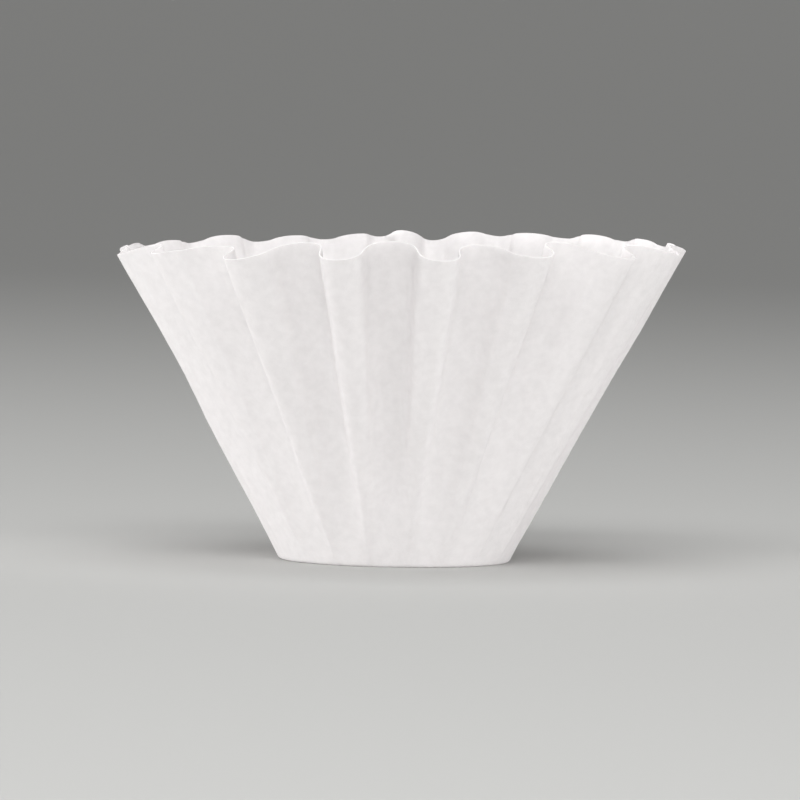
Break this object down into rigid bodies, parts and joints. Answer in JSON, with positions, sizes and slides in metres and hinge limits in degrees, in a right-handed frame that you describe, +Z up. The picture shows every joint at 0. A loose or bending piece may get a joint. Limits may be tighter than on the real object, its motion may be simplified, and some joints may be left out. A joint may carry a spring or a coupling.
{
  "type": "paper coffee filter",
  "caption": "Fluted, flat-bottomed paper coffee filter: a round sheet of white filter paper pressed into an open cup with a pleated, flaring wall.",
  "frame": {"origin": "centre of the flat floor's underside", "axes": "+Z up, from the floor to the open rim; -Y towards the viewer of the picture; +X to the viewer's right"},
  "size_m": [0.0997, 0.0997, 0.0572],
  "materials": {
    "filter_paper": "matt, bleached, faintly mottled"
  },
  "bodies": {
    "root": {"filter_paper": "filter_paper"}
  },
  "joints": []
}
